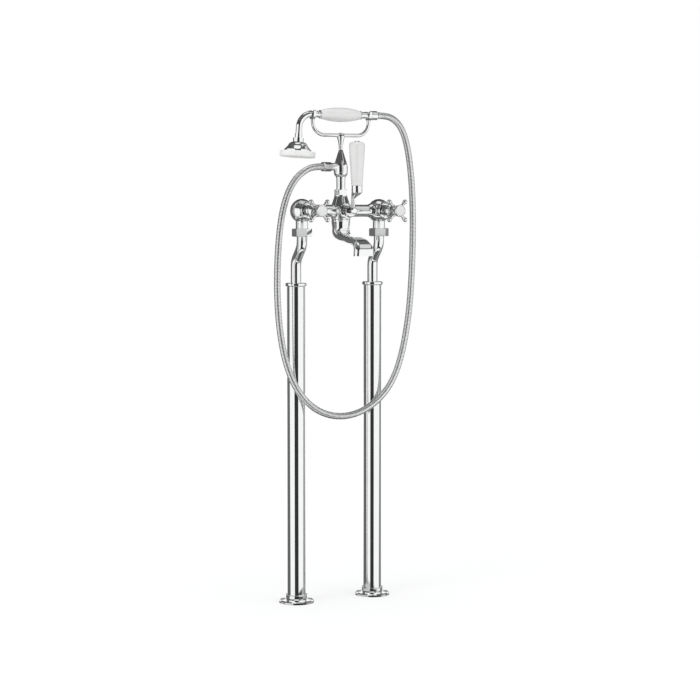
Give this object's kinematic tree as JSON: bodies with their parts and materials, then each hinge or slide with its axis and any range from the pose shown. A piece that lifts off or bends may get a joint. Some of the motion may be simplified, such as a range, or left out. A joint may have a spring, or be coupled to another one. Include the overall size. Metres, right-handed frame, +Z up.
{
  "type": "floor standing bath filler",
  "caption": "Floor standing bath and shower mixer on standpipes, with cross handles, a diverter lever, a wide flat spout, and a cradled hand shower on a hanging hose.",
  "frame": {"origin": "on the floor, midway between the axes of the hot and cold supply pipes", "axes": "+X to the user's right (cold side), -Y to the front towards the bath, +Z up"},
  "size_m": [0.3325, 0.1741, 1.0285],
  "materials": {
    "chrome": "polished chrome plate on brass",
    "hose_chrome": "polished chrome interlocked hose",
    "brass": "machined brass",
    "steel": "stainless steel",
    "glazed_ceramic": "white glazed ceramic",
    "cream_resin": "pale gloss spray face",
    "dark_resin": "dark moulded resin",
    "seal_rubber": "black sealing rubber"
  },
  "bodies": {
    "stand": {"hot_floor_plate": "brass", "hot_floor_flange": "chrome", "hot_standpipe": "chrome", "hot_standpipe_collar": "chrome", "hot_supply_pipe": "chrome", "hot_union_nut": "chrome", "hot_union_washer": "seal_rubber", "hot_check_valve": "dark_resin", "hot_cartridge": "brass", "hot_bonnet": "chrome", "cold_floor_plate": "brass", "cold_floor_flange": "chrome", "cold_standpipe": "chrome", "cold_standpipe_collar": "chrome", "cold_supply_pipe": "chrome", "cold_union_nut": "chrome", "cold_union_washer": "seal_rubber", "cold_check_valve": "dark_resin", "cold_cartridge": "brass", "cold_bonnet": "chrome", "mixer_body": "chrome", "diverter_bonnet": "chrome", "diverter_cartridge": "brass", "spout": "chrome", "spout_insert": "dark_resin", "riser_nut": "chrome", "riser_tube": "chrome", "column": "chrome", "cradle": "chrome", "outlet_washer": "seal_rubber", "outlet_hose_tail": "brass", "outlet_hose_nut": "chrome", "shower_hose": "hose_chrome"},
    "hot_handle": {"hot_spindle": "steel", "hot_cross_handle": "chrome", "hot_handle_screw": "steel", "hot_index": "glazed_ceramic"},
    "cold_handle": {"cold_spindle": "steel", "cold_cross_handle": "chrome", "cold_handle_screw": "steel", "cold_index": "glazed_ceramic"},
    "diverter_lever": {"diverter_spindle": "steel", "lever_arm": "chrome", "lever_grip": "glazed_ceramic", "lever_cap": "chrome"},
    "handset": {"handset_neck": "chrome", "rose_bell": "chrome", "rose_face": "cream_resin", "rose_gasket": "seal_rubber", "handset_grip": "glazed_ceramic", "handset_core": "brass", "handset_front_collar": "chrome", "handset_rear_ferrule": "chrome", "handset_washer": "seal_rubber", "handset_hose_tail": "brass", "handset_hose_nut": "chrome"}
  },
  "joints": [
    {"name": "hot_handle_turn", "type": "hinge", "parent": "stand", "child": "hot_handle", "pos_m": [-0.09, -0.106, 0.816], "axis": [0, -1, 0], "range_deg": [0, 90]},
    {"name": "cold_handle_turn", "type": "hinge", "parent": "stand", "child": "cold_handle", "pos_m": [0.09, -0.106, 0.816], "axis": [0, -1, 0], "range_deg": [-90, 0]},
    {"name": "diverter_turn", "type": "hinge", "parent": "stand", "child": "diverter_lever", "pos_m": [0, -0.082, 0.816], "axis": [0, -1, 0], "range_deg": [-45, 45]},
    {"name": "handset_lift", "type": "slide", "parent": "stand", "child": "handset", "axis": [0, 0, 1], "range_m": [0, 0.035], "deforming": ["shower_hose"]}
  ]
}
